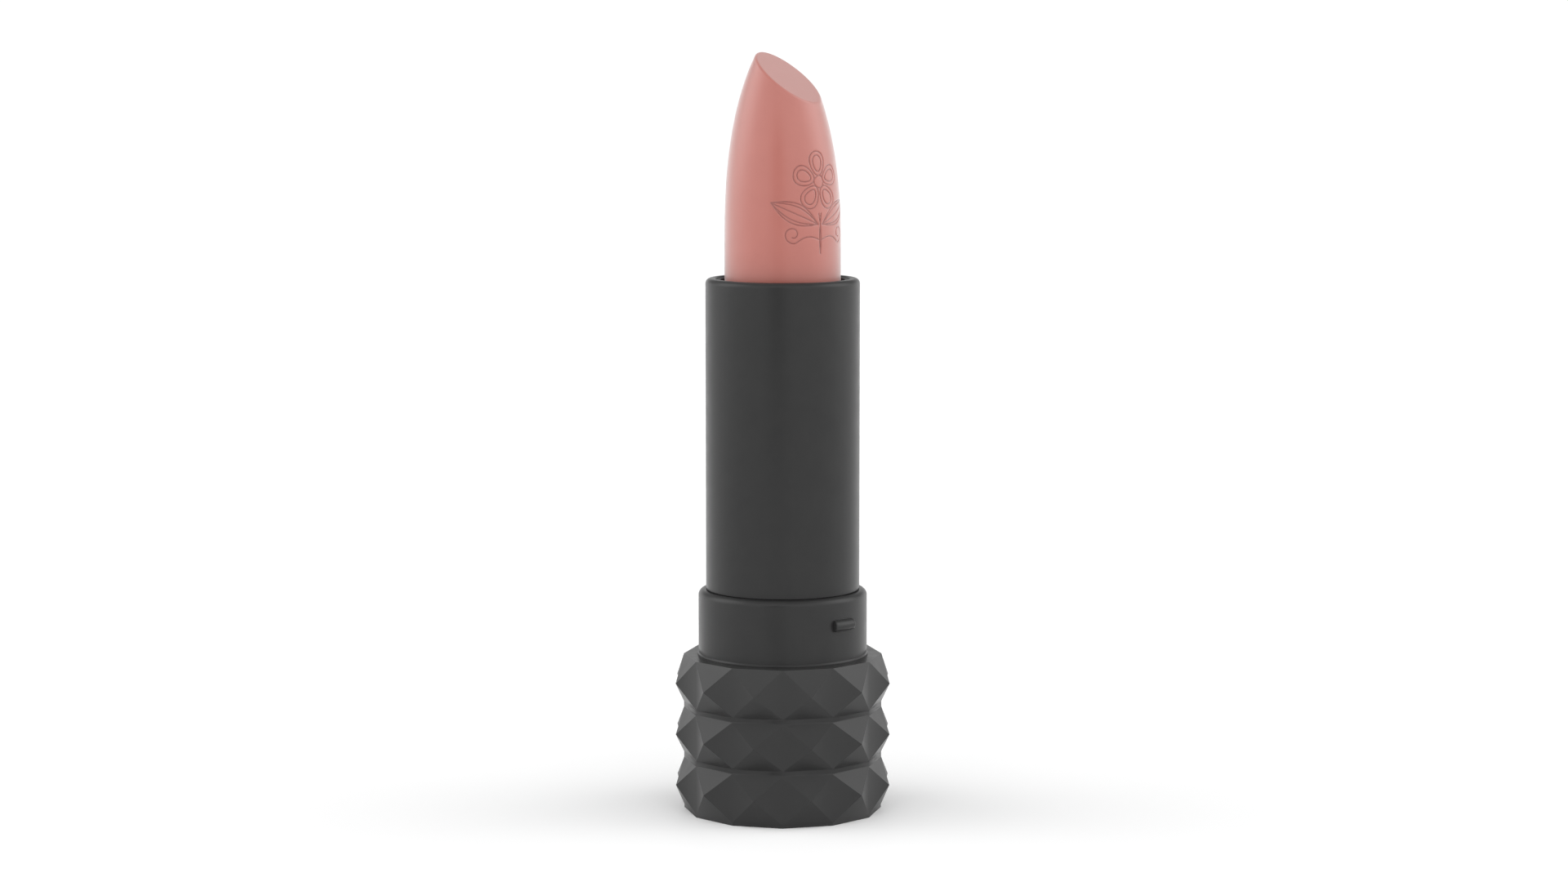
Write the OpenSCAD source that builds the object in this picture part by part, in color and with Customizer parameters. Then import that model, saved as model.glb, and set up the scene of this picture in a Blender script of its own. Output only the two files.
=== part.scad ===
// A twist-up lipstick, open and fully raised: a studded base with a neck collar,
// a turning sleeve, and the bullet that a two-start cam lifts and lowers.
// Millimetres. Z is up, the base stands on z = 0, and the front faces -Y.

/* [Base] */
// Radius of the twelve-sided base at its corners
base_corner_r = 10.4; // [10.3:0.05:11]
// Height of one row of studs
stud_row_h = 5.4; // [5.2:0.1:5.8]
// Height of the plain band under the studs
foot_band_h = 0.3; // [0.2:0.05:0.4]
// Height of each stud's point above its face
stud_h = 1.55; // [0.8:0.05:2]

/* [Collar] */
// Outside radius of the collar
collar_r = 8.85; // [8.8:0.05:9]
// Height of the collar above the base
collar_h = 6.95; // [6.6:0.05:7.4]
// Radius of the collar's rounded shoulder
shoulder_r = 0.65; // [0.4:0.05:0.7]
// Radius of the half-round cap catches
catch_r = 0.6; // [0.3:0.05:0.65]
// Height of the cap catches above the base
catch_z = 4.05; // [3:0.05:5]
// Direction of the first cap catch, to the right of the front
catch_azimuth = 45; // [0:1:90]
// Angle that each cap catch spans
catch_span = 17; // [10:1:30]

/* [Sleeve] */
// Outside radius of the turning sleeve
sleeve_r = 8.05; // [8:0.01:8.06]
// Height of the sleeve above the collar
sleeve_h = 32.65; // [32.5:0.05:33]
// Radius of the sleeve's rounded rim
rim_round = 0.55; // [0.3:0.05:0.6]

/* [Bullet] */
// Radius of the bullet
bullet_r = 6.05; // [6:0.01:6.06]
// Height of the bullet's point above the sleeve's rim
bullet_stand = 23.5; // [22:0.1:24]
// Tilt of the cut face away from level
cut_tilt = 38; // [30:1:45]
// Direction that the cut face looks, to the right of the front
cut_azimuth = 55; // [0:1:90]

/* [Mechanism] */
// Distance that the bullet travels
travel = 25; // [24.8:0.1:25]
// Turns of the sleeve over that travel
turns = 1.5; // [1.25:0.05:1.75]
// Height of the steel weight in the base
weight_h = 5.8; // [4:0.1:5.8]

/* [Hidden] */
$fn = 96;
eps = 0.01;       // overlap that keeps cuts clean
press_gap = 0.02; // gap between pieces that are pressed together
glue_gap = 0.03;  // gap between pieces that are glued together
run_gap = 0.05;   // gap between pieces that turn or slide on each other
seat_gap = 0.05;  // gap between faces that rest on each other
front = -90;      // direction of the front face

// Base
sides = 12;
stud_rows = 3;
side_angle = 360 / sides;
base_h = foot_band_h + stud_rows * stud_row_h;
face_r = base_corner_r * cos(side_angle / 2);
bore_r = 8.98;
top_plate_t = 1.6;
bore_h = base_h - top_plate_t;
foot_recess = 0.3;
foot_t = 1.2;
foot_chamfer = 0.2;
label_recess = 0.15;
label_t = 0.12;
label_r = 7.5;
label_play = 0.1;
liner_z = foot_recess + foot_t + seat_gap;
web_z = 7.6;
web_t = 0.8;
pocket_r = 8.3;
weight_z = liner_z + seat_gap;
weight_chamfer = 0.3;
weight_hole_r = 1.5;

// Inner body
foot_r = 7.63;
socket_r = foot_r + press_gap;
body_wall_t = 0.38;
body_bore_r = 6.5;
body_r = body_bore_r + body_wall_t;
stem_bore_r = 5.6;
stem_z = web_z + web_t + seat_gap;
drag_r = 0.35;
drag_groove_r = 6.22;
drag_groove_h = 0.9;
drag_rise = 1.1;

// Collar
neck_r = 8.42;
opening_r = neck_r + glue_gap;
skirt_h = 2.9;
floor_t = 0.4;
flange_out = 0.1;
flange_h = 0.2;
collar_lip_drop = 0.05;
collar_top = base_h + collar_h;
thrust_z = base_h + floor_t;
drag_z = thrust_z + drag_rise;
shoulder_steps = 8;

// Sleeve and cam
thrust_gap = 0.2;
sleeve_z = thrust_z + thrust_gap;
tail_step = 0.17;
tail_r = sleeve_r - tail_step;
tail_top = collar_top + seat_gap;
collar_play = 0.08;
collar_wall_r = tail_r + collar_play;
snap_rise = 1.6;
snap_z = thrust_z + snap_rise;
snap_h = 0.7;
snap_out = 0.2;
snap_play = 0.1;
sleeve_top = collar_top + sleeve_h;
sleeve_bore_r = 7.66;
rim_t = 0.8;
rim_bore_r = 7.0;
rim_inner_round = 0.2;
rim_steps = 6;
cam_bore_r = body_r + run_gap;
cam_r = sleeve_bore_r - glue_gap;
cam_top = sleeve_top - rim_t - seat_gap;
groove_r = 7.3;
body_drop = 0.15;
body_top = sleeve_top - body_drop;

// Carrier
cup_r = body_bore_r - run_gap;
cup_bore_r = bullet_r + press_gap;
cup_h = 10.5;
cup_floor_t = 0.8;
cup_drop = 0.9;
cup_top = sleeve_top - cup_drop;
cup_z = cup_top - cup_h;
stem_clearance = 0.4;
stem_top_z = cup_z - travel - stem_clearance;
cup_hole_r = 1.5;
lug_r = 0.72;
lug_end_r = 7.2;
lug_root_r = 6.2;
lug_rise = 2.5;
lug_z = cup_z + lug_rise;
lug_play = 0.08;
slot_w = 2 * (lug_r + lug_play);
slot_play = 0.1;
starts = 2;
lead = travel / turns;
groove_h = 1.7;
groove_span = 360 * groove_h / lead;
groove_z = lug_z - travel - groove_h / 2;
groove_len = travel + groove_h;
groove_turn = 360 * groove_len / lead;
groove_start = 360 * (groove_z - lug_z) / lead;
groove_step = 6; // degrees that one slice of the groove turns
groove_slices = ceil(groove_turn / groove_step);
groove_arc_steps = 4;
cam_sides = 36;

// Bullet
bullet_z = cup_z + cup_floor_t;
bullet_tip = sleeve_top + bullet_stand;
taper_drop = 20.4;
taper_z = bullet_tip - taper_drop;
taper_len = 23.1;
taper_end = 0.96;
taper_rings = 16;
bullet_sides = 48;
taper_fullness = 2.5;
taper_sharpness = 1.3;
taper_lean = 0.23;
taper_lean_h = 15;
cut_drop = 2.03;
cut_axis_z = bullet_tip - cut_drop;
cutter_w = 60;

// A point at radius r, height z, and angle a to the right of the front.
function at(r, a, z) = [r * cos(front + a), r * sin(front + a), z];

// A quarter arc from angle a0 to a1 about [cx, cz], as outline points.
function arc(cx, cz, r, a0, a1, steps) =
    [for (i = [0 : steps]) let (a = a0 + (a1 - a0) * i / steps) [cx + r * cos(a), cz + r * sin(a)]];

// Height of each edge ring of the studded belt, from the ground up.
function edge_z(k) = k == 0 ? 0 : foot_band_h + (k - 1) * stud_row_h;

// The studded outside of the base: rings of corners, and one point per stud.
module studded_block() {
    rings = stud_rows + 2;
    corners = [for (k = [0 : rings - 1]) for (i = [0 : sides - 1])
        at(base_corner_r, i * side_angle, edge_z(k))];
    tips = [for (k = [1 : stud_rows]) for (i = [0 : sides - 1])
        at(face_r + stud_h, (i + 0.5) * side_angle, edge_z(k) + stud_row_h / 2)];
    bottom = [[for (i = [0 : sides - 1]) i]];
    top = [[for (i = [sides - 1 : -1 : 0]) (rings - 1) * sides + i]];
    band = [for (i = [0 : sides - 1]) let (j = (i + 1) % sides) [i, sides + i, sides + j, j]];
    studs = [for (k = [1 : stud_rows]) for (i = [0 : sides - 1]) each stud_faces(k, i)];
    polyhedron(points = concat(corners, tips), faces = concat(bottom, top, band, studs));
}

// The four faces of stud i in row k.
function stud_faces(k, i) =
    let (j = (i + 1) % sides,
         low = k * sides,
         high = low + sides,
         tip = (stud_rows + 2) * sides + (k - 1) * sides + i)
    [[low + i, high + i, tip], [high + i, high + j, tip], [high + j, low + j, tip], [low + j, low + i, tip]];

module base_shell() {
    color("#3a3a3a") difference() {
        studded_block();
        translate([0, 0, -eps]) cylinder(h = bore_h + eps, r = bore_r);
        cylinder(h = base_h + eps, r = opening_r);
    }
}

// The plastic liner: a pocket for the weight below, a socket for the inner body above.
module base_liner() {
    liner_r = bore_r - glue_gap;
    liner_top = base_h - skirt_h - seat_gap;
    color("#1c1c1c") difference() {
        translate([0, 0, liner_z]) cylinder(h = liner_top - liner_z, r = liner_r);
        translate([0, 0, liner_z - eps]) cylinder(h = web_z - liner_z + eps, r = pocket_r);
        translate([0, 0, web_z + web_t]) cylinder(h = liner_top - web_z, r = socket_r);
    }
}

module base_weight() {
    weight_r = pocket_r - seat_gap;
    weight_top = weight_z + weight_h;
    color("silver") rotate_extrude() polygon([
        [weight_hole_r, weight_z],
        [weight_r - weight_chamfer, weight_z],
        [weight_r, weight_z + weight_chamfer],
        [weight_r, weight_top - weight_chamfer],
        [weight_r - weight_chamfer, weight_top],
        [weight_hole_r, weight_top]]);
}

module foot_disc() {
    disc_r = bore_r - glue_gap;
    color("#2a2a2a") difference() {
        rotate_extrude() polygon([
            [0, foot_recess],
            [disc_r - foot_chamfer, foot_recess],
            [disc_r, foot_recess + foot_chamfer],
            [disc_r, foot_recess + foot_t],
            [0, foot_recess + foot_t]]);
        translate([0, 0, foot_recess - eps]) cylinder(h = label_recess + eps, r = label_r + label_play);
    }
}

module foot_label() {
    color("#e8e4e0") translate([0, 0, foot_recess + label_recess - label_t])
        cylinder(h = label_t, r = label_r);
}

// The neck ring: a glued skirt, a foot flange, a rounded shoulder and two cap catches outside,
// and inside it a groove that the sleeve's snap bead turns in.
module collar() {
    shoulder = arc(collar_r - shoulder_r, collar_top - shoulder_r, shoulder_r, 0, 90, shoulder_steps);
    profile = concat(
        [[socket_r, base_h - skirt_h],
         [neck_r, base_h - skirt_h],
         [neck_r, base_h],
         [collar_r + flange_out, base_h],
         [collar_r + flange_out, base_h + flange_h - flange_out],
         [collar_r, base_h + flange_h]],
        shoulder,
        [[collar_wall_r, collar_top - collar_lip_drop],
         [collar_wall_r, snap_z + snap_h / 2 + snap_play],
         [tail_r + snap_out + snap_play, snap_z + snap_play],
         [tail_r + snap_out + snap_play, snap_z - snap_play],
         [collar_wall_r, snap_z - snap_h / 2 - snap_play],
         [collar_wall_r, thrust_z],
         [socket_r, thrust_z]]);
    color("#3a3a3a") union() {
        rotate_extrude() polygon(profile);
        for (turn = [0, 180]) rotate([0, 0, front + catch_azimuth + turn]) cap_catch();
    }
}

// One half-round cap catch, centred on +X. Its inner half is buried in the collar.
module cap_catch() {
    rotate([0, 0, -catch_span / 2]) rotate_extrude(angle = catch_span)
        translate([collar_r, base_h + catch_z]) circle(r = catch_r);
}

// The slotted guide tube, its stem pressed in the liner, with a groove for the drag ring.
module inner_body() {
    groove_low = drag_z - drag_groove_h / 2;
    groove_high = drag_z + drag_groove_h / 2;
    profile = [
        [stem_bore_r, stem_z],
        [foot_r, stem_z],
        [foot_r, thrust_z],
        [body_r, thrust_z],
        [body_r, groove_low],
        [drag_groove_r, groove_low],
        [drag_groove_r, groove_high],
        [body_r, groove_high],
        [body_r, body_top],
        [body_bore_r, body_top],
        [body_bore_r, stem_top_z],
        [stem_bore_r, stem_top_z]];
    color("#1c1c1c") difference() {
        rotate_extrude() polygon(profile);
        for (turn = [0, 180]) rotate([0, 0, turn]) lug_slot();
    }
}

// One straight slot through the +X wall of the inner body, with round ends.
module lug_slot() {
    low = lug_z - travel - slot_play;
    high = lug_z + slot_play;
    translate([stem_bore_r, -slot_w / 2, low]) cube([groove_r - stem_bore_r, slot_w, high - low]);
    for (z = [low, high]) translate([stem_bore_r, 0, z]) rotate([0, 90, 0])
        cylinder(h = groove_r - stem_bore_r, r = slot_w / 2);
}

module drag_ring() {
    color("#222222") rotate_extrude() translate([drag_groove_r + drag_r, drag_z]) circle(r = drag_r);
}

// The outer sleeve: a thin tube with a rolled rim, and a narrower tail with a snap bead in the collar.
module outer_sleeve() {
    outer_round = arc(sleeve_r - rim_round, sleeve_top - rim_round, rim_round, 0, 90, rim_steps);
    inner_round = arc(rim_bore_r + rim_inner_round, sleeve_top - rim_inner_round,
                      rim_inner_round, 90, 180, rim_steps);
    profile = concat(
        [[sleeve_bore_r, sleeve_z],
         [tail_r, sleeve_z],
         [tail_r, snap_z - snap_h / 2],
         [tail_r + snap_out, snap_z],
         [tail_r, snap_z + snap_h / 2],
         [tail_r, tail_top],
         [sleeve_r, tail_top]],
        outer_round,
        inner_round,
        [[rim_bore_r, sleeve_top - rim_t],
         [sleeve_bore_r, sleeve_top - rim_t]]);
    color("#333333") rotate_extrude() polygon(profile);
}

// The n corners, at radius r, of a regular outline.
function ring_outline(r, n) = [for (i = [0 : n - 1]) r * [cos(360 * i / n), sin(360 * i / n)]];

// The cam tube, flat-sided in fine steps like its two helical grooves.
module cam_tube() {
    color("#262626") difference() {
        translate([0, 0, sleeve_z]) linear_extrude(height = cam_top - sleeve_z) difference() {
            polygon(ring_outline(cam_r, cam_sides));
            polygon(ring_outline(cam_bore_r / cos(180 / cam_sides), cam_sides));
        }
        for (k = [0 : starts - 1]) rotate([0, 0, k * 360 / starts]) cam_groove();
    }
}

// One right-handed groove that meets the lug on +X when the bullet is fully raised.
module cam_groove() {
    outline = concat(
        arc(0, 0, groove_r, -groove_span / 2, groove_span / 2, groove_arc_steps),
        arc(0, 0, body_bore_r, groove_span / 2, -groove_span / 2, 1));
    translate([0, 0, groove_z]) rotate([0, 0, groove_start])
        linear_extrude(height = groove_len, twist = -groove_turn, slices = groove_slices, $fn = len(outline))
            polygon(outline);
}

// The cup that holds the bullet, with the two lugs that ride in the slots and grooves.
module carrier_cup() {
    profile = [
        [cup_hole_r, cup_z],
        [cup_r, cup_z],
        [cup_r, cup_top],
        [cup_bore_r, cup_top],
        [cup_bore_r, cup_z + cup_floor_t],
        [cup_hole_r, cup_z + cup_floor_t]];
    color("#202020") union() {
        rotate_extrude() polygon(profile);
        for (turn = [0, 180]) rotate([0, 0, turn]) translate([lug_root_r, 0, lug_z])
            rotate([0, 90, 0]) cylinder(h = lug_end_r - lug_root_r, r = lug_r);
    }
}

// Radius of the bullet's tapered part, s from 0 at its foot to 1 at its full height.
function taper_r(s) = bullet_r * pow(1 - pow(s, taper_fullness), 1 / taper_sharpness);

// Sideways lean of the tapered part, z above its foot.
function lean(z) = -taper_lean * pow(z / taper_lean_h, 2);

// One ring of points round the bullet at height z, with radius r.
function bullet_ring(r, z, shift) =
    [for (i = [0 : bullet_sides - 1]) at(r, 360 * i / bullet_sides, z) + [shift, 0, 0]];

// The bullet before it is cut: a straight stem, then rings that follow the taper.
module bullet_blank() {
    heights = [for (k = [0 : taper_rings]) taper_end * k / taper_rings];
    points = concat(
        bullet_ring(bullet_r, bullet_z, 0),
        [for (s = heights) each bullet_ring(taper_r(s), taper_z + s * taper_len, lean(s * taper_len))]);
    last = taper_rings + 1;
    walls = [for (k = [0 : last - 1]) for (i = [0 : bullet_sides - 1])
        let (j = (i + 1) % bullet_sides, low = k * bullet_sides, high = low + bullet_sides)
        each [[low + i, high + i, high + j], [low + i, high + j, low + j]]];
    bottom = [[for (i = [0 : bullet_sides - 1]) i]];
    top = [[for (i = [bullet_sides - 1 : -1 : 0]) last * bullet_sides + i]];
    polyhedron(points = points, faces = concat(bottom, top, walls));
}

module bullet() {
    color("#c37d73") difference() {
        bullet_blank();
        translate([0, 0, cut_axis_z]) rotate([0, 0, front + cut_azimuth]) rotate([0, cut_tilt, 0])
            translate([-cutter_w / 2, -cutter_w / 2, 0]) cube(cutter_w);
    }
}

base_shell();
base_liner();
base_weight();
foot_disc();
foot_label();
collar();
inner_body();
drag_ring();
outer_sleeve();
cam_tube();
carrier_cup();
bullet();
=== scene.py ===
"""Looks for the open twist-up lipstick. Metres, in the CAD frame: +Z up, front towards -Y."""

import math

import bmesh
import bpy
from mathutils import Matrix, Vector
from mathutils.kdtree import KDTree


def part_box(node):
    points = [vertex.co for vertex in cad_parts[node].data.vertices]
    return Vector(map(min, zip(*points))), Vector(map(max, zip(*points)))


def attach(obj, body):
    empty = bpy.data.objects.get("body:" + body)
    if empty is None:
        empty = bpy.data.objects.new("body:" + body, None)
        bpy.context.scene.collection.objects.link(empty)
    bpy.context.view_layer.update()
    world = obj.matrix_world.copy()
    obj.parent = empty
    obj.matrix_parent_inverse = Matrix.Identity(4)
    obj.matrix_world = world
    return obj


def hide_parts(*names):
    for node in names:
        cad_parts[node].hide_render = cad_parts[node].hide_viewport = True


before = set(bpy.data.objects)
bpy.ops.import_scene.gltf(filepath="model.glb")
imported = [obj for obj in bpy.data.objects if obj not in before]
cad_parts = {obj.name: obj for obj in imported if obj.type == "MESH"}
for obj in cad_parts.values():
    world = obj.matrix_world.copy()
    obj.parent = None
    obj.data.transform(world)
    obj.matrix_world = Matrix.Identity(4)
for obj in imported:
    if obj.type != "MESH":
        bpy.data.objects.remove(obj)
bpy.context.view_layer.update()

MM = 0.001


# ---------------------------------------------------------------- sizes

shell_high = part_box("base_shell")[1]
collar_low, collar_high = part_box("collar")
sleeve_low, sleeve_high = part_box("outer_sleeve")
bullet_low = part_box("bullet")[0]

# Base
SIDES = 12
STUD_ROWS = 3
SIDE_ANGLE = 2 * math.pi / SIDES
BASE_H = shell_high.z
CORNER_R = 10.4 * MM
# The studs that reach furthest to the side point 75 degrees away from the front
WIDEST_STUD = 2.5 * SIDE_ANGLE
TIP_R = shell_high.x / math.sin(WIDEST_STUD)
FOOT_BAND_H = 0.3 * MM
ROW_H = (BASE_H - FOOT_BAND_H) / STUD_ROWS
BORE_R = 8.98 * MM
DECK_T = 1.6 * MM
BORE_H = BASE_H - DECK_T
OPENING_R = 8.45 * MM
BORE_STEPS_PER_SIDE = 10
# Bevels of the studs' edges and of the valleys between the rows
STUD_EDGE = 0.12 * MM
VALLEY_EDGE = 0.34 * MM
FLATTEST_EDGE = math.radians(20)

# Collar
COLLAR_TOP = collar_high.z
SKIRT_Z = collar_low.z
COLLAR_R = 8.85 * MM
FLANGE_OUT = 0.1 * MM
FLANGE_H = 0.2 * MM
FLANGE_ROUND = 0.22 * MM
NECK_R = 8.42 * MM
SOCKET_R = 7.65 * MM
THRUST_Z = BASE_H + 0.4 * MM
SHOULDER_R = 0.65 * MM
SKIRT_ROUND = 0.1 * MM
STEP_ROUND = 0.03 * MM
BORE_ROUND = 0.04 * MM
# The bead on the sleeve's tail and the play round it in the collar's groove
SNAP_Z = THRUST_Z + 1.6 * MM
SNAP_HALF_H = 0.35 * MM
SNAP_OUT = 0.2 * MM
SNAP_PLAY = 0.1 * MM
CATCH_R = 0.6 * MM
CATCH_Z = BASE_H + 4.05 * MM
CATCH_AZIMUTH = math.radians(45)
CATCH_SPAN = math.radians(17)

# Sleeve
SLEEVE_TOP = sleeve_high.z
SLEEVE_Z = sleeve_low.z
SLEEVE_R = 8.05 * MM
TAIL_STEP = 0.17 * MM
TAIL_R = SLEEVE_R - TAIL_STEP
TAIL_ROUND = 0.08 * MM
COLLAR_PLAY = 0.08 * MM
COLLAR_BORE_R = TAIL_R + COLLAR_PLAY
SEAT_GAP = 0.05 * MM
TAIL_TOP = COLLAR_TOP + SEAT_GAP
SNAP_ROUND = 0.05 * MM
SLEEVE_BORE_R = 7.66 * MM
RIM_BORE_R = 7.0 * MM
RIM_T = 0.8 * MM
RIM_ROUND = 0.55 * MM
RIM_BORE_ROUND = 0.2 * MM
RIM_FOOT_ROUND = 0.05 * MM

# Bullet
BULLET_R = 6.05 * MM
BULLET_Z = bullet_low.z
BULLET_TIP = SLEEVE_TOP + 23.5 * MM
TAPER_Z = BULLET_TIP - 20.4 * MM
TAPER_LEN = 23.1 * MM
TAPER_FULLNESS = 2.5
TAPER_SHARPNESS = 1.3
TAPER_LEAN = 0.23 * MM
TAPER_LEAN_H = 15 * MM
CUT_TILT = math.radians(38)
CUT_AZIMUTH = math.radians(55)
CUT_AXIS_Z = BULLET_TIP - 2.03 * MM
CUT_EDGE = 0.22 * MM
# The cut's edge lies below this share of the taper's length
CUT_SEARCH = 0.96
CUT_HALVINGS = 40
# Sizes of the rings of faces inside the cut's edge, as shares of it
CUT_RINGS = (0.8, 0.55, 0.3)
TAPER_STEPS = 22
COARSE_TURN = math.radians(3)
COARSE_RISE = 1.0 * MM

# Engraved motif
MOTIF_AZIMUTH = math.radians(40)
MOTIF_Z = 64.1 * MM
MOTIF_R = 5.2 * MM
# The finely meshed area, as shares of the motif's radius and of its own height
MOTIF_MARGIN = 1.06
MOTIF_WIDTH = 1.12
MOTIF_GRID = 0.055 * MM
MOTIF_LINE = 0.1 * MM
MOTIF_DEPTH = 0.1 * MM
LINE_FALLOFF = 3
PETALS = 5
LOOP_STEPS = 32
BOWED_STEPS = 16
CURL_STEPS = 40
CURL_CLOSING = 0.67

# Fineness of the turned pieces
LATHE_SEGMENTS = 160
ROUND_STEPS = 8


# ---------------------------------------------------------------- mesh helpers

def place(r, azimuth, z):
    """The point at radius r, height z and that angle to the right of the front."""
    return Vector((r * math.sin(azimuth), -r * math.cos(azimuth), z))


def new_piece(name, mesh_maker, material, body, replaced, sharp=35):
    """Adds a mesh, creased at edges over sharp degrees, and says what it rides on and replaces."""
    bm = bmesh.new()
    mesh_maker(bm)
    bmesh.ops.recalc_face_normals(bm, faces=bm.faces)
    mesh = bpy.data.meshes.new(name)
    bm.to_mesh(mesh)
    bm.free()
    for polygon in mesh.polygons:
        polygon.use_smooth = True
    mesh.set_sharp_from_angle(angle=math.radians(sharp))
    mesh.materials.append(material)
    piece = bpy.data.objects.new(name, mesh)
    bpy.context.collection.objects.link(piece)
    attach(piece, body)
    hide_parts(replaced)
    return piece


def rounded(corners):
    """An outline from (r, z, radius) corners, each corner turned into an arc of that radius."""
    points = []
    count = len(corners)
    for i, (r, z, radius) in enumerate(corners):
        here = Vector((r, z))
        if radius == 0:
            points.append(here)
            continue
        back = (Vector(corners[i - 1][:2]) - here).normalized()
        ahead = (Vector(corners[(i + 1) % count][:2]) - here).normalized()
        half = back.angle(ahead) / 2
        reach = radius / math.tan(half)
        centre = here + (back + ahead).normalized() * radius / math.sin(half)
        start, end = here + back * reach - centre, here + ahead * reach - centre
        sweep = start.angle_signed(end)
        for k in range(ROUND_STEPS + 1):
            points.append(centre + Matrix.Rotation(-sweep * k / ROUND_STEPS, 2) @ start)
    return points


def lathe(bm, outline):
    """A closed ring that turns the outline, a closed loop of (r, z) points, about Z."""
    rings = [[bm.verts.new(place(r, 2 * math.pi * s / LATHE_SEGMENTS, z)) for r, z in outline]
             for s in range(LATHE_SEGMENTS)]
    for s, ring in enumerate(rings):
        beside = rings[(s + 1) % LATHE_SEGMENTS]
        for i in range(len(outline)):
            j = (i + 1) % len(outline)
            bm.faces.new((ring[i], beside[i], beside[j], ring[j]))


def bevel(piece, width, segments):
    """Rounds the piece's edges, each by its bevel weight times the width."""
    modifier = piece.modifiers.new("edges", "BEVEL")
    modifier.width = width
    modifier.segments = segments
    modifier.limit_method = "WEIGHT"
    modifier.harden_normals = True
    modifier.miter_outer = "MITER_ARC"


# ---------------------------------------------------------------- materials

def shader(name, colour, roughness, **sockets):
    """A new material with one Principled shader, and its node tree."""
    material = bpy.data.materials.new(name)
    material.use_nodes = True
    tree = material.node_tree
    principled = tree.nodes["Principled BSDF"]
    principled.inputs["Base Color"].default_value = (*colour, 1)
    principled.inputs["Roughness"].default_value = roughness
    for socket, value in sockets.items():
        principled.inputs[socket.replace("_", " ")].default_value = value
    return material, tree, principled


def add(tree, kind, **settings):
    """A new node, with its properties or the default values of its inputs set."""
    node = tree.nodes.new(kind)
    for key, value in settings.items():
        if hasattr(node, key):
            setattr(node, key, value)
        else:
            node.inputs[key.replace("_", " ")].default_value = value
    return node


def noise_node(tree, scale, detail, stretch=(1, 1, 1)):
    """Noise in the object's own metres, scale features to the metre."""
    coords = add(tree, "ShaderNodeTexCoord")
    mapping = add(tree, "ShaderNodeMapping", Scale=stretch)
    texture = add(tree, "ShaderNodeTexNoise", Scale=scale, Detail=detail)
    tree.links.new(coords.outputs["Object"], mapping.inputs["Vector"])
    tree.links.new(mapping.outputs["Vector"], texture.inputs["Vector"])
    return texture.outputs["Fac"]


def remap(tree, value, low, high, from_low=0.3, from_high=0.7):
    """Maps a value onto low to high, by default from the range that noise mostly keeps to."""
    node = add(tree, "ShaderNodeMapRange")
    node.inputs["From Min"].default_value = from_low
    node.inputs["From Max"].default_value = from_high
    node.inputs["To Min"].default_value = low
    node.inputs["To Max"].default_value = high
    tree.links.new(value, node.inputs["Value"])
    return node.outputs["Result"]


def mix_colour(tree, factor, first, second):
    """Blends between two colours, each a tuple or another node's output."""
    node = add(tree, "ShaderNodeMix", data_type="RGBA")
    tree.links.new(factor, node.inputs["Factor"])
    # The node has sockets for each data type: these are the colour ones
    for socket, colour in ((node.inputs[6], first), (node.inputs[7], second)):
        if isinstance(colour, tuple):
            socket.default_value = (*colour, 1)
        else:
            tree.links.new(colour, socket)
    return node.outputs[2]


def bump(tree, height, distance, under=None):
    """A bump whose full height is distance, in metres, on top of another bump if one is given."""
    node = add(tree, "ShaderNodeBump", Distance=distance, Strength=1.0)
    tree.links.new(height, node.inputs["Height"])
    if under is not None:
        tree.links.new(under, node.inputs["Normal"])
    return node.outputs["Normal"]


def edge_wear(tree):
    """0 on flat faces, where pointiness is a half, rising to 1 along convex edges."""
    geometry = add(tree, "ShaderNodeNewGeometry")
    return remap(tree, geometry.outputs["Pointiness"], 0.0, 1.0, 0.52, 0.62)


def satin_black():
    """The case's satin black plastic: fine mould grain, faint flow waves, lighter worn edges."""
    material, tree, principled = shader("satin_black", (0.019, 0.019, 0.019), 0.31, IOR=1.34)
    grain = noise_node(tree, 9000, 2)
    waves = noise_node(tree, 260, 2)
    cloud = noise_node(tree, 500, 4)
    shade = mix_colour(tree, remap(tree, cloud, 0, 1), (0.018, 0.018, 0.0182), (0.02, 0.02, 0.02))
    worn = mix_colour(tree, edge_wear(tree), shade, (0.03, 0.03, 0.03))
    tree.links.new(worn, principled.inputs["Base Color"])
    tree.links.new(remap(tree, cloud, 0.28, 0.34), principled.inputs["Roughness"])
    flow = bump(tree, waves, 0.012 * MM)
    tree.links.new(bump(tree, grain, 0.0015 * MM, flow), principled.inputs["Normal"])
    return material


def matte_black():
    """The black plastic of the mechanism and liner: duller, with a coarser grain."""
    material, tree, principled = shader("matte_black", (0.012, 0.012, 0.012), 0.5)
    grain = noise_node(tree, 6000, 3)
    cloud = noise_node(tree, 400, 3)
    shade = mix_colour(tree, remap(tree, cloud, 0, 1), (0.009, 0.009, 0.009), (0.015, 0.015, 0.015))
    tree.links.new(shade, principled.inputs["Base Color"])
    tree.links.new(remap(tree, cloud, 0.42, 0.55), principled.inputs["Roughness"])
    tree.links.new(bump(tree, grain, 0.003 * MM), principled.inputs["Normal"])
    return material


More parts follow.
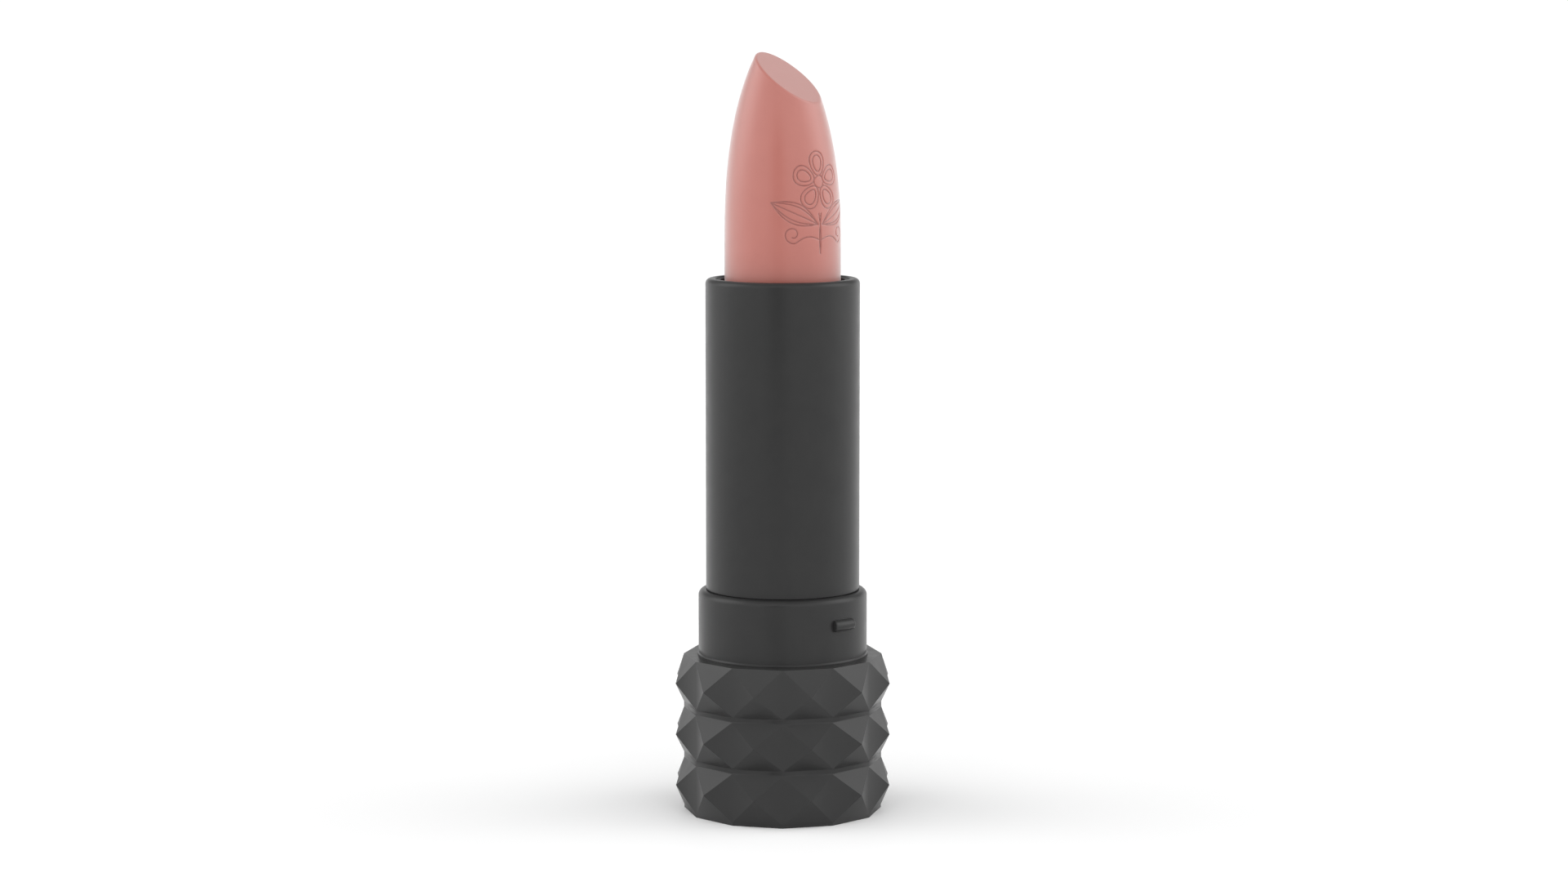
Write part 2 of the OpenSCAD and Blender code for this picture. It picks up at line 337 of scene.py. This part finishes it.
def rose_wax():
    """The bullet: dusty rose wax, faintly mottled, with a soft pale skin and painted shade darkening
    its engraved lines.
    """
    material, tree, principled = shader(
        "rose_wax", (0.39, 0.118, 0.092), 0.36, Sheen_Weight=0.88, Sheen_Roughness=0.43,
        Coat_Weight=0.3, Coat_Roughness=0.3)
    mottle = noise_node(tree, 500, 3)
    grain = noise_node(tree, 6000, 2)
    engraved = add(tree, "ShaderNodeAttribute", attribute_name="engraved")
    shade = mix_colour(tree, remap(tree, mottle, 0, 1), (0.384, 0.115, 0.09), (0.396, 0.121, 0.095))
    # Painted shade: the colour darkens towards deep rose along the engraved grooves, by their depth
    # share
    line = remap(tree, engraved.outputs["Fac"], 0, 0.75, 0.1, 1)
    groove_shaded_colour = mix_colour(tree, line, shade, (0.19, 0.05, 0.043))
    tree.links.new(groove_shaded_colour, principled.inputs["Base Color"])
    tree.links.new(remap(tree, mottle, 0.34, 0.38), principled.inputs["Roughness"])
    soft = bump(tree, mottle, 0.006 * MM)
    tree.links.new(bump(tree, grain, 0.0003 * MM, soft), principled.inputs["Normal"])
    return material


def turned_steel():
    """The weight: steel with fine turning marks."""
    material, tree, principled = shader("turned_steel", (0.55, 0.55, 0.56), 0.35, Metallic=1.0)
    marks = noise_node(tree, 900, 3, (0.1, 0.1, 12))
    tree.links.new(remap(tree, marks, 0.28, 0.45), principled.inputs["Roughness"])
    tree.links.new(bump(tree, marks, 0.004 * MM), principled.inputs["Normal"])
    return material


def rubber():
    """The drag ring: dull black rubber."""
    material, tree, principled = shader("rubber", (0.02, 0.02, 0.02), 0.7)
    grain = noise_node(tree, 5000, 3)
    tree.links.new(remap(tree, grain, 0.6, 0.8), principled.inputs["Roughness"])
    tree.links.new(bump(tree, grain, 0.004 * MM), principled.inputs["Normal"])
    return material


def label_paper():
    """The blank foot label: off-white paper with visible fibres."""
    material, tree, principled = shader("label_paper", (0.8, 0.79, 0.76), 0.6)
    fibres = noise_node(tree, 2500, 5, (1, 3, 1))
    shade = mix_colour(tree, remap(tree, fibres, 0, 1), (0.76, 0.75, 0.72), (0.83, 0.82, 0.8))
    tree.links.new(shade, principled.inputs["Base Color"])
    tree.links.new(bump(tree, fibres, 0.006 * MM), principled.inputs["Normal"])
    return material


SATIN_BLACK = satin_black()
MATTE_BLACK = matte_black()
ROSE_WAX = rose_wax()
STEEL = turned_steel()
RUBBER = rubber()
PAPER = label_paper()


# ---------------------------------------------------------------- base

def studded_base(bm):
    """Twelve sides with three rows of pyramid studs, bored from below and open at the top."""
    heights = [0] + [FOOT_BAND_H + k * ROW_H for k in range(STUD_ROWS + 1)]
    rings = [[bm.verts.new(place(CORNER_R, i * SIDE_ANGLE, z)) for i in range(SIDES)]
             for z in heights]
    ground, band = rings[:2]
    for i in range(SIDES):
        j = (i + 1) % SIDES
        bm.faces.new((ground[i], ground[j], band[j], band[i]))
    for low, high in zip(rings[1:], rings[2:]):
        z = (low[0].co.z + high[0].co.z) / 2
        for i in range(SIDES):
            j = (i + 1) % SIDES
            tip = bm.verts.new(place(TIP_R, (i + 0.5) * SIDE_ANGLE, z))
            corners = (low[i], low[j], high[j], high[i])
            for a, b in zip(corners, corners[1:] + corners[:1]):
                bm.faces.new((a, b, tip))
    steps = SIDES * BORE_STEPS_PER_SIDE

    def circle(r, z):
        return [bm.verts.new(place(r, i * 2 * math.pi / steps, z)) for i in range(steps)]

    def wall(a, b):
        for i in range(steps):
            j = (i + 1) % steps
            bm.faces.new((a[i], a[j], b[j], b[i]))

    def rim(corners, ring):
        for i in range(SIDES):
            arc = [ring[(i * BORE_STEPS_PER_SIDE + k) % steps]
                   for k in range(BORE_STEPS_PER_SIDE, -1, -1)]
            bm.faces.new([corners[i], corners[(i + 1) % SIDES], *arc])

    mouth, bore_top = circle(BORE_R, 0), circle(BORE_R, BORE_H)
    opening, top = circle(OPENING_R, BORE_H), circle(OPENING_R, BASE_H)
    wall(mouth, bore_top)
    wall(bore_top, opening)
    wall(opening, top)
    rim(rings[0], mouth)
    rim(rings[-1], top)
    weights = bm.edges.layers.float.new("bevel_weight_edge")
    for edge in bm.edges:
        if edge.calc_face_angle(0) > FLATTEST_EDGE:
            edge[weights] = STUD_EDGE / VALLEY_EDGE
    for ring in rings[2:-1]:
        for i in range(SIDES):
            bm.edges.get((ring[i], ring[(i + 1) % SIDES]))[weights] = 1


def collar_ring(bm):
    """The neck ring: foot flange, rounded shoulder, snap groove and two half-round catches."""
    groove_r = TAIL_R + SNAP_OUT + SNAP_PLAY
    groove_half_h = SNAP_HALF_H + SNAP_PLAY
    lathe(bm, rounded([
        (SOCKET_R, SKIRT_Z, 0),
        (NECK_R, SKIRT_Z, SKIRT_ROUND),
        (NECK_R, BASE_H, 0),
        (COLLAR_R + FLANGE_OUT, BASE_H, 0),
        (COLLAR_R + FLANGE_OUT, BASE_H + FLANGE_H, FLANGE_ROUND),
        (COLLAR_R, BASE_H + FLANGE_H + FLANGE_OUT, STEP_ROUND),
        (COLLAR_R, COLLAR_TOP, SHOULDER_R),
        (COLLAR_BORE_R, COLLAR_TOP, BORE_ROUND),
        (COLLAR_BORE_R, SNAP_Z + groove_half_h, 0),
        (groove_r, SNAP_Z + SNAP_PLAY, 0),
        (groove_r, SNAP_Z - SNAP_PLAY, 0),
        (COLLAR_BORE_R, SNAP_Z - groove_half_h, 0),
        (COLLAR_BORE_R, THRUST_Z, 0),
        (SOCKET_R, THRUST_Z, 0)]))
    for turn in (0, math.pi):
        cap_catch(bm, CATCH_AZIMUTH + turn)


def cap_catch(bm, azimuth):
    """A bar of round section bent round the collar, its inner half buried, with eased ends."""
    ease, ease_steps = 0.06 * MM, 3
    around, along_steps = 32, 14
    end = []
    for k in range(ease_steps):
        turn = k / (ease_steps - 1) * math.pi / 2
        end.append((CATCH_SPAN / 2 - ease * (1 - math.cos(turn)) / COLLAR_R,
                    ease * (1 - math.sin(turn))))
    middle = [(CATCH_SPAN * (k / along_steps - 0.5), 0) for k in range(1, along_steps)]
    stations = [(-angle, loss) for angle, loss in end] + middle + end[::-1]
    rings = []
    for angle, loss in stations:
        r = CATCH_R - loss
        ring = []
        for i in range(around):
            a = 2 * math.pi * i / around
            out, up = r * math.cos(a), r * math.sin(a)
            ring.append(bm.verts.new(place(COLLAR_R + out, azimuth + angle, CATCH_Z + up)))
        rings.append(ring)
    for a, b in zip(rings, rings[1:]):
        for i in range(around):
            j = (i + 1) % around
            bm.faces.new((a[i], a[j], b[j], b[i]))
    bm.faces.new(rings[0])
    bm.faces.new(rings[-1])


def sleeve_tube(bm):
    """The turning sleeve: a thin tube with a rolled rim, and a tail with a snap bead."""
    lathe(bm, rounded([
        (SLEEVE_BORE_R, SLEEVE_Z, 0),
        (TAIL_R, SLEEVE_Z, TAIL_ROUND),
        (TAIL_R, SNAP_Z - SNAP_HALF_H, 0),
        (TAIL_R + SNAP_OUT, SNAP_Z, SNAP_ROUND),
        (TAIL_R, SNAP_Z + SNAP_HALF_H, 0),
        (TAIL_R, TAIL_TOP, 0),
        (SLEEVE_R, TAIL_TOP, STEP_ROUND),
        (SLEEVE_R, SLEEVE_TOP, RIM_ROUND),
        (RIM_BORE_R, SLEEVE_TOP, RIM_BORE_ROUND),
        (RIM_BORE_R, SLEEVE_TOP - RIM_T, RIM_FOOT_ROUND),
        (SLEEVE_BORE_R, SLEEVE_TOP - RIM_T, 0)]))


base = new_piece("studded_base", studded_base, SATIN_BLACK, "base", "base_shell",
                 sharp=30)
bevel(base, VALLEY_EDGE, 4)
new_piece("collar_ring", collar_ring, SATIN_BLACK, "base", "collar")
new_piece("sleeve_tube", sleeve_tube, SATIN_BLACK, "sleeve", "outer_sleeve")


# ---------------------------------------------------------------- bullet

def taper_radius(z):
    """Radius of the bullet at height z, before the cut."""
    s = max(0, (z - TAPER_Z) / TAPER_LEN)
    return BULLET_R * (1 - s ** TAPER_FULLNESS) ** (1 / TAPER_SHARPNESS)


def side_point(azimuth, z):
    """A point on the bullet's side, leaning a little as the taper does."""
    lean = -TAPER_LEAN * (max(0, z - TAPER_Z) / TAPER_LEAN_H) ** 2
    return place(taper_radius(z), azimuth, z) + Vector((lean, 0, 0))


CUT_NORMAL = place(math.sin(CUT_TILT), CUT_AZIMUTH, math.cos(CUT_TILT))


def over_cut(point):
    """How far a point is above the cut face."""
    return (point - Vector((0, 0, CUT_AXIS_Z))).dot(CUT_NORMAL)


def cut_height(azimuth):
    """Height at which the side meets the cut face, by halving."""
    low, high = TAPER_Z, TAPER_Z + CUT_SEARCH * TAPER_LEN
    for _ in range(CUT_HALVINGS):
        middle = (low + high) / 2
        if over_cut(side_point(azimuth, middle)) > 0:
            high = middle
        else:
            low = middle
    return low


def loop(centre, turn, reach, size):
    """A petal outline: reach out from centre to its middle, size along and across, turned."""
    points = []
    for i in range(LOOP_STEPS + 1):
        t = 2 * math.pi * i / LOOP_STEPS
        along = reach + size.x * math.cos(t)
        across = size.y * math.sin(t) * (1 + 0.25 * math.cos(t))
        points.append(centre + Matrix.Rotation(turn, 2) @ Vector((along, across)))
    return points


def bowed(start, end, bow):
    """A line from start to end that bows sideways by bow at its middle."""
    side = Vector((start.y - end.y, end.x - start.x)).normalized()
    shares = [i / BOWED_STEPS for i in range(BOWED_STEPS + 1)]
    return [start.lerp(end, share) + side * bow * math.sin(math.pi * share) for share in shares]


def curl(start, centre, turns, direction):
    """A tendril that winds in from start round centre, closing to a third of its first radius."""
    points = []
    for i in range(CURL_STEPS + 1):
        share = i / CURL_STEPS
        arm = Matrix.Rotation(direction * 2 * math.pi * turns * share, 2) @ (start - centre)
        points.append(centre + arm * (1 - CURL_CLOSING * share))
    return points


def motif_lines():
    """A five-petal flower on a stem with leaves and tendrils, as lines in a plane, unit size."""
    centre = Vector((0, 0.42))
    lines = [loop(centre, 0, 0, Vector((0.12, 0.12)))]
    for k in range(PETALS):
        turn = math.radians(90 + 360 / PETALS * k)
        lines.append(loop(centre, turn, 0.36, Vector((0.24, 0.19))))
        lines.append(loop(centre, turn, 0.36, Vector((0.16, 0.11))))
    foot = Vector((0, -1))
    lines.append(bowed(Vector((-0.03, -0.2)), foot, 0.03))
    lines.append(bowed(Vector((0.03, -0.2)), foot, -0.03))
    for side in (-1, 1):
        root, tip = Vector((0.05 * side, -0.42)), Vector((1.05 * side, 0.02))
        for bow in (0.2, 0.14, 0, -0.14, -0.2):
            lines.append(bowed(root, tip, bow * side))
        low_root, low_tip = Vector((0.03 * side, -0.72)), Vector((0.55 * side, -0.78))
        lines.append(bowed(low_root, low_tip, 0.09 * side))
        lines.append(curl(low_tip, low_tip + Vector((0.06 * side, 0.17)), 1.1, side))
    return lines


def motif_tree():
    """A search tree of points spaced finely along the motif's lines, on the unrolled side."""
    spacing = MOTIF_LINE / 5
    points = []
    for line in motif_lines():
        for a, b in zip(line, line[1:]):
            count = max(1, round((b - a).length * MOTIF_R / spacing))
            points += [a.lerp(b, k / count) * MOTIF_R for k in range(count)]
    tree = KDTree(len(points))
    for i, point in enumerate(points):
        tree.insert(point.to_3d(), i)
    tree.balance()
    return tree


def spaced(start, end, fine_start, fine_end, fine, coarse):
    """Stations from start to end, close together between the two fine limits."""
    stations = []
    spans = ((start, fine_start, coarse), (fine_start, fine_end, fine), (fine_end, end, coarse))
    for low, high, step in spans:
        count = max(1, round((high - low) / step))
        stations += [low + (high - low) * i / count for i in range(count)]
    return stations


def lipstick_bullet(bm):
    """A grid over the side, pressed in along the engraved lines, closed by the cut and the foot."""
    half_h = MOTIF_R * MOTIF_MARGIN
    half_w = half_h * MOTIF_WIDTH
    turn = half_w / BULLET_R
    azimuths = spaced(MOTIF_AZIMUTH - math.pi, MOTIF_AZIMUTH + math.pi,
                      MOTIF_AZIMUTH - turn, MOTIF_AZIMUTH + turn, MOTIF_GRID / BULLET_R, COARSE_TURN)
    grid_top = MOTIF_Z + half_h
    lower = spaced(BULLET_Z, grid_top, MOTIF_Z - half_h, grid_top, MOTIF_GRID, COARSE_RISE)
    lower.append(grid_top)
    # The engraved share is each point's groove depth; the wax material also uses it to paint shade
    # into the grooves
    engraved = bm.verts.layers.float.new("engraved")
    tree = motif_tree()
    columns = []
    for azimuth in azimuths:
        across = (azimuth - MOTIF_AZIMUTH) * BULLET_R
        column = []
        for z in lower:
            share = 0
            if abs(across) < half_w and abs(z - MOTIF_Z) < half_h:
                gap = tree.find((across, z - MOTIF_Z, 0))[2] / MOTIF_LINE
                share = math.exp(-LINE_FALLOFF * gap * gap)
            vert = bm.verts.new(side_point(azimuth, z) - place(MOTIF_DEPTH * share, azimuth, 0))
            vert[engraved] = share
            column.append(vert)
        edge = cut_height(azimuth)
        for k in range(1, TAPER_STEPS + 1):
            z = grid_top + (edge - grid_top) * k / TAPER_STEPS
            column.append(bm.verts.new(side_point(azimuth, z)))
        columns.append(column)
    rows = len(columns[0])
    for column, beside in zip(columns, columns[1:] + columns[:1]):
        for k in range(rows - 1):
            bm.faces.new((column[k], beside[k], beside[k + 1], column[k + 1]))
    edge_ring = [column[-1] for column in columns]
    centre = sum((v.co for v in edge_ring), Vector()) / len(edge_ring)
    previous = edge_ring
    for share in CUT_RINGS:
        ring = [bm.verts.new(centre + (v.co - centre) * share) for v in edge_ring]
        for i in range(len(ring)):
            j = (i + 1) % len(ring)
            bm.faces.new((previous[i], previous[j], ring[j], ring[i]))
        previous = ring
    bm.faces.new(previous)
    bm.faces.new([column[0] for column in columns][::-1])
    weights = bm.edges.layers.float.new("bevel_weight_edge")
    edge_set = set(edge_ring)
    for edge in bm.edges:
        if edge.verts[0] in edge_set and edge.verts[1] in edge_set:
            edge[weights] = 1.0


bullet = new_piece("lipstick_bullet", lipstick_bullet, ROSE_WAX, "carrier", "bullet",
                   sharp=60)
bevel(bullet, CUT_EDGE, 5)


# ---------------------------------------------------------------- CAD pieces that stay

def dress(node, material):
    """Gives a CAD node its material."""
    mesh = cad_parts[node].data
    mesh.materials.clear()
    mesh.materials.append(material)


for node, material in (
        ("base_liner", MATTE_BLACK), ("base_weight", STEEL), ("foot_disc", SATIN_BLACK),
        ("foot_label", PAPER), ("inner_body", MATTE_BLACK), ("drag_ring", RUBBER),
        ("cam_tube", MATTE_BLACK), ("carrier_cup", MATTE_BLACK)):
    dress(node, material)


# ---------------------------------------------------------------- studio

CAMERA_SIDE = 0.14 * MM
CAMERA_DISTANCE = 369.9 * MM
CAMERA_HEIGHT = 82.2 * MM
# Degrees below level
CAMERA_PITCH = 6.66
# Lens and sensor width, in millimetres
CAMERA_LENS = 81.7
CAMERA_SENSOR = 36

camera_data = bpy.data.cameras.new("camera")
camera_data.lens = CAMERA_LENS
camera_data.sensor_width = CAMERA_SENSOR
camera = bpy.data.objects.new("camera", camera_data)
bpy.context.collection.objects.link(camera)
camera.location = (CAMERA_SIDE, -CAMERA_DISTANCE, CAMERA_HEIGHT)
camera.rotation_euler = (math.radians(90 - CAMERA_PITCH), 0, 0)
camera_data.clip_start = 0.01
bpy.context.scene.camera = camera
bpy.context.scene.view_settings.view_transform = "Standard"


FLOOR_RADIUS = 6
FLOOR_SIDES = 96
FLOOR_SHADE = 0.96
# A little over the largest brightness in the two lists below, as a curve ends at 1
SKY_SCALE = 2.0
# Brightness of the surroundings by elevation in degrees, in front and behind
FRONT_SKY = ((0, 1.05), (4, 1.55), (48, 1.55), (51, 0.8), (90, 0.8))
BACK_SKY = ((0, 1.05), (10, 1.0), (16, 0.38), (60, 0.42), (70, 0.88), (90, 0.88))
# Azimuths between which the front gives way to the back, on each side
SKY_TURN = (95, 125)
# Soft patches in the surroundings, a light at each side and a dim one in front:
# azimuth, elevation, inner and outer spread in degrees, and the brightness added
LOBES = (
    (98, 29, 12, 34, 1.15),
    (-98, 29, 12, 34, 1.15),
    (-8, 11, 8, 16, -1.45),
)


def floor():
    """A wide pale floor."""
    material, _, principled = shader("floor", (FLOOR_SHADE,) * 3, 0.6)
    principled.inputs["Specular IOR Level"].default_value = 0.2
    bpy.ops.mesh.primitive_circle_add(vertices=FLOOR_SIDES, radius=FLOOR_RADIUS, fill_type="NGON",
                                      location=(0, 0, 0))
    disc = bpy.context.object
    disc.name = "floor"
    disc.data.materials.append(material)


def lobe(tree, direction, azimuth, elevation, inner, outer, brightness):
    """A soft round patch: full up to inner degrees from its centre, and gone at outer degrees."""
    azimuth, elevation = math.radians(azimuth), math.radians(elevation)
    towards = place(math.cos(elevation), azimuth, math.sin(elevation))
    facing = add(tree, "ShaderNodeVectorMath", operation="DOT_PRODUCT")
    facing.inputs[1].default_value = towards
    tree.links.new(direction, facing.inputs[0])
    patch = add(tree, "ShaderNodeMapRange", interpolation_type="SMOOTHSTEP")
    patch.inputs["From Min"].default_value = math.cos(math.radians(outer))
    patch.inputs["From Max"].default_value = math.cos(math.radians(inner))
    patch.inputs["To Max"].default_value = brightness
    tree.links.new(facing.outputs["Value"], patch.inputs["Value"])
    return patch.outputs["Result"]


def sky(tree, height, stops):
    """Brightness by elevation, from stops of degrees and brightness."""
    curve = add(tree, "ShaderNodeFloatCurve")
    points = curve.mapping.curves[0].points
    for i, (elevation, brightness) in enumerate(stops):
        spot = (math.sin(math.radians(elevation)), brightness / SKY_SCALE)
        if i < 2:
            points[i].location = spot
        else:
            points.new(*spot)
    for point in points:
        point.handle_type = "VECTOR"
    curve.mapping.extend = "HORIZONTAL"
    curve.mapping.update()
    scaled = add(tree, "ShaderNodeMath", operation="MULTIPLY")
    scaled.inputs[1].default_value = SKY_SCALE
    tree.links.new(height, curve.inputs["Value"])
    tree.links.new(curve.outputs["Value"], scaled.inputs[0])
    return scaled.outputs["Value"]


def studio():
    """White surroundings, graded by elevation and from front to back, with the soft patches."""
    world = bpy.data.worlds.new("studio")
    world.use_nodes = True
    tree = world.node_tree
    coords = add(tree, "ShaderNodeTexCoord")
    direction = coords.outputs["Generated"]
    height = add(tree, "ShaderNodeSeparateXYZ")
    tree.links.new(direction, height.inputs["Vector"])
    behind = add(tree, "ShaderNodeMapRange", interpolation_type="SMOOTHSTEP")
    behind.inputs["From Min"].default_value = math.sin(math.radians(SKY_TURN[0] - 90))
    behind.inputs["From Max"].default_value = math.sin(math.radians(SKY_TURN[1] - 90))
    tree.links.new(height.outputs["Y"], behind.inputs["Value"])
    blend = add(tree, "ShaderNodeMix", data_type="FLOAT")
    tree.links.new(behind.outputs["Result"], blend.inputs["Factor"])
    for socket, stops in ((blend.inputs["A"], FRONT_SKY), (blend.inputs["B"], BACK_SKY)):
        tree.links.new(sky(tree, height.outputs["Z"], stops), socket)
    total = blend.outputs["Result"]
    for settings in LOBES:
        both = add(tree, "ShaderNodeMath", operation="ADD")
        tree.links.new(total, both.inputs[0])
        tree.links.new(lobe(tree, direction, *settings), both.inputs[1])
        total = both.outputs["Value"]
    tree.links.new(total, tree.nodes["Background"].inputs["Strength"])
    tree.nodes["Background"].inputs["Color"].default_value = (1, 1, 1, 1)
    bpy.context.scene.world = world


floor()
studio()
